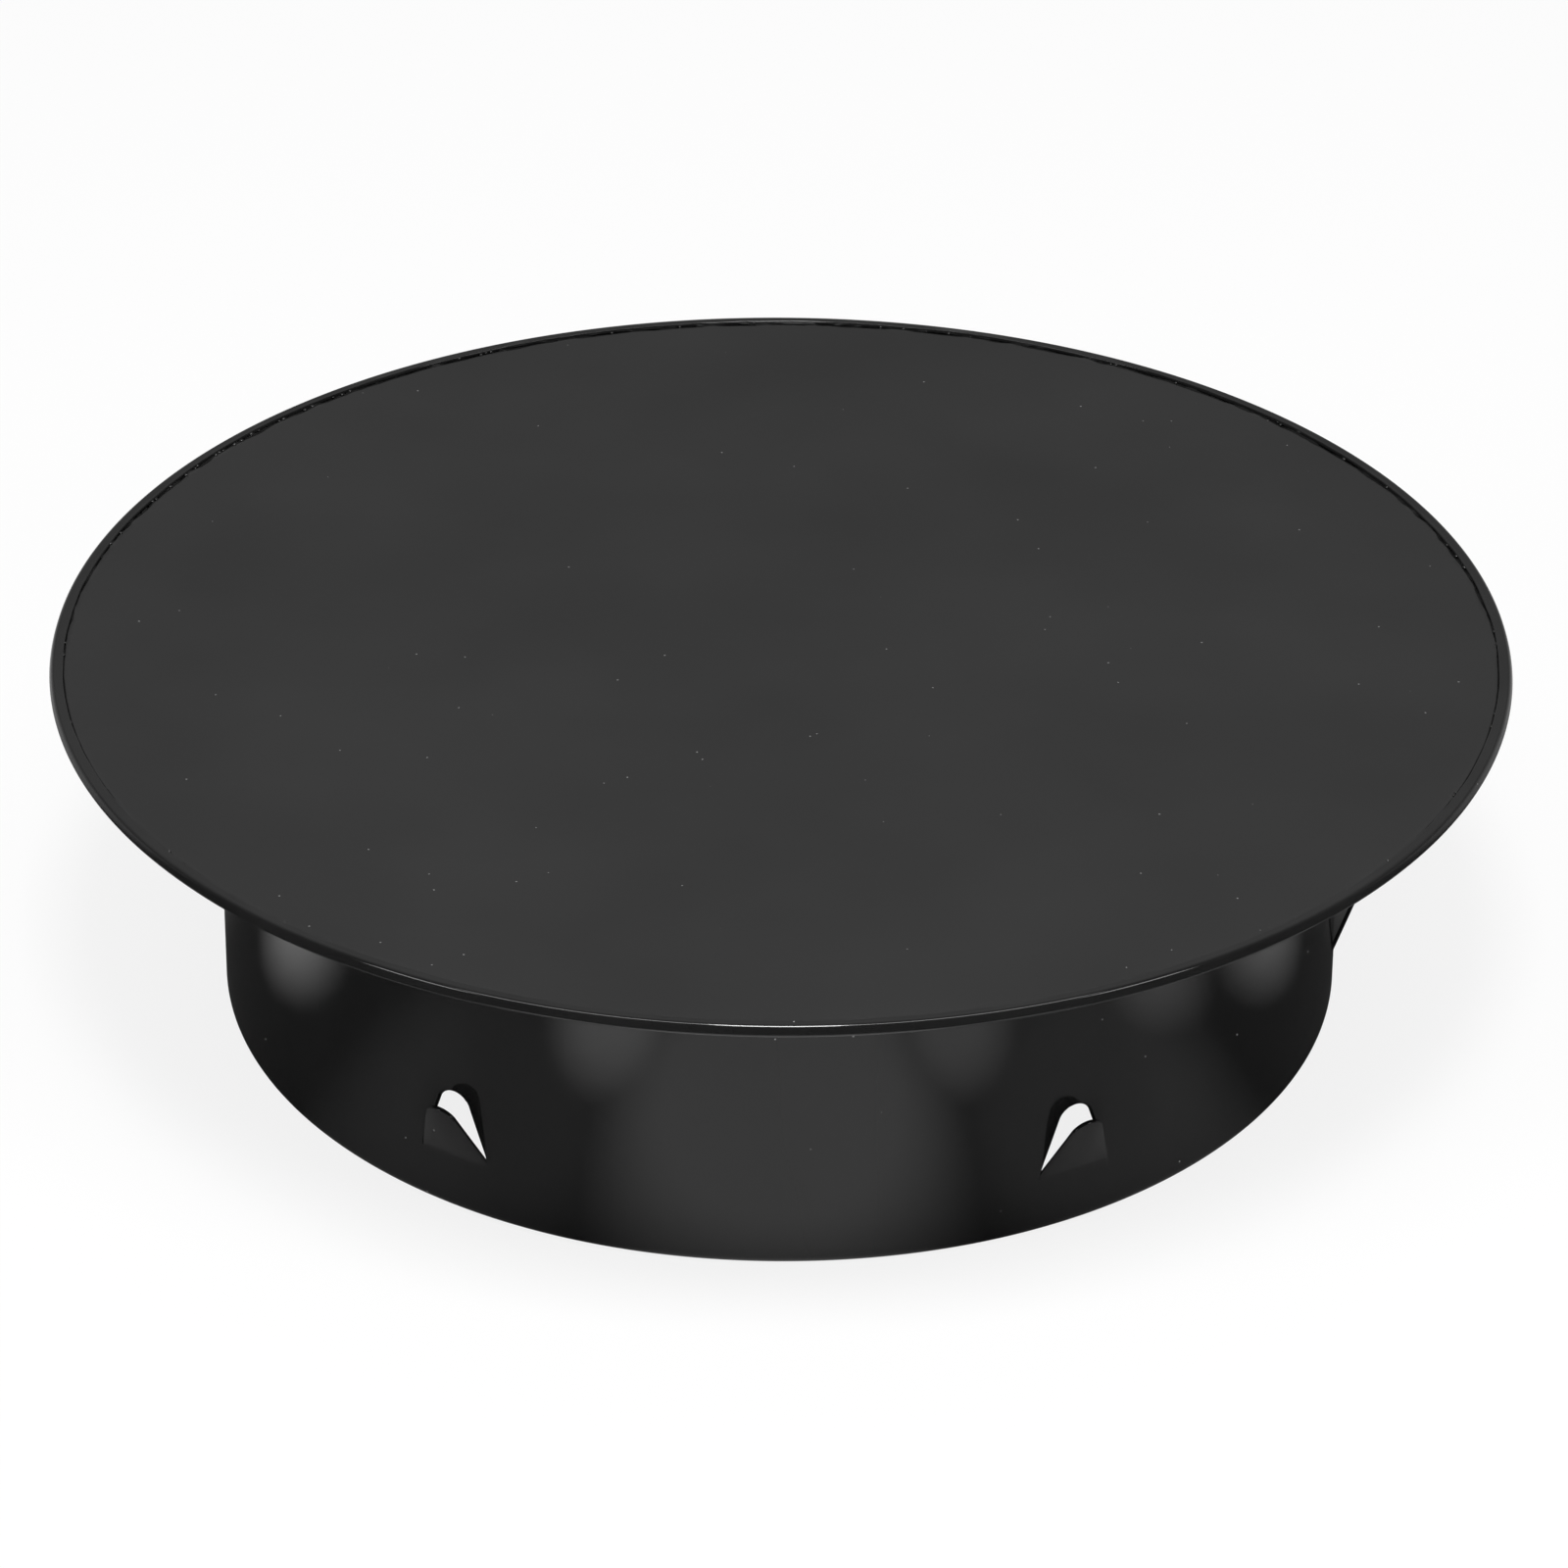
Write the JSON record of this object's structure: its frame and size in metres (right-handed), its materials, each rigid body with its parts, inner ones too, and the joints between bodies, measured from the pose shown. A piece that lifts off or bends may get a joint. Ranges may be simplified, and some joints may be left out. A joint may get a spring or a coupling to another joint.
{
  "type": "duct end cap",
  "caption": "Flat round sheet-metal cover seamed to a short barbed collar that pushes into a round duct and closes its end.",
  "frame": {"origin": "centre of the collar's lower edge, on the surface that the cap stands on", "axes": "+Z along the cap's axis, from the open end of the collar to the cover; -Y towards the front"},
  "size_m": [0.191, 0.191, 0.0487],
  "materials": {
    "cover_enamel": "gloss black enamel on sheet steel",
    "collar_enamel": "gloss black enamel on sheet steel"
  },
  "bodies": {
    "root": {"cover_disc": "cover_enamel", "collar_ring": "collar_enamel"}
  },
  "joints": []
}
